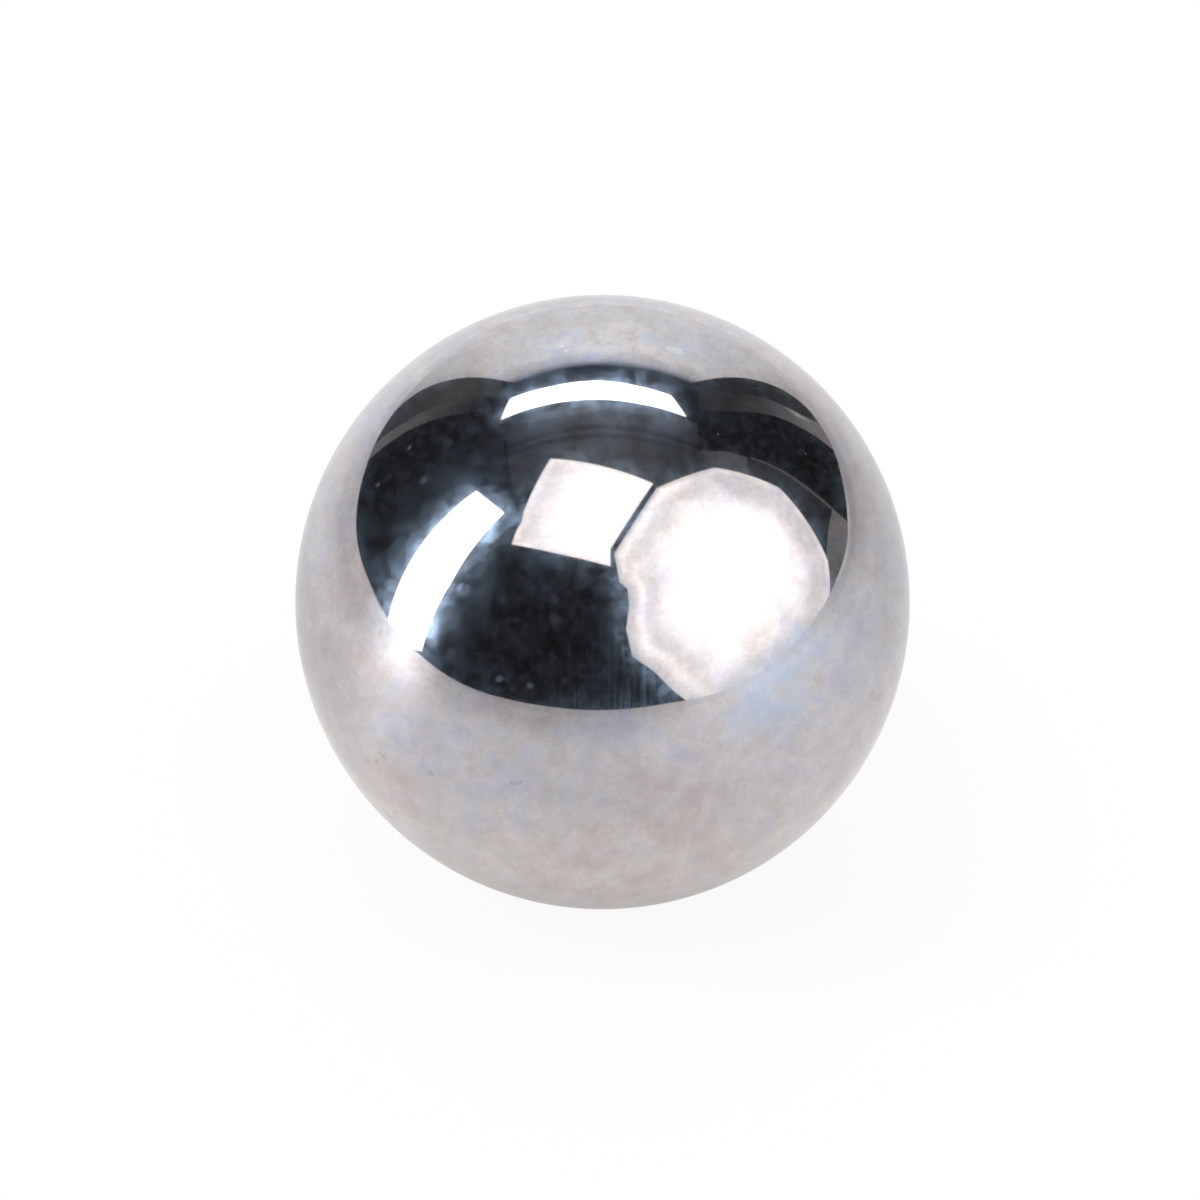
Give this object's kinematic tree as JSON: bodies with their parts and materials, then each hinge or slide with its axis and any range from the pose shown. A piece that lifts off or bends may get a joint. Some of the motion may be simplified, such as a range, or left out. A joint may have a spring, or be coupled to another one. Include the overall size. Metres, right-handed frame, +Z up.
{
  "type": "steel ball",
  "caption": "Solid steel ball with a mirror polish, a plain sphere used as a bearing, valve or pendulum ball, a rolling mass or a small weight.",
  "frame": {"origin": "centre of the ball", "axes": "+Z up and +Y away from the camera; the ball is the same in every direction"},
  "size_m": [0.025, 0.025, 0.025],
  "materials": {
    "polished_steel": "lapped and mirror polished, with a faint film, fine scuffs and a few specks"
  },
  "bodies": {
    "root": {"ball": "polished_steel"}
  },
  "joints": []
}
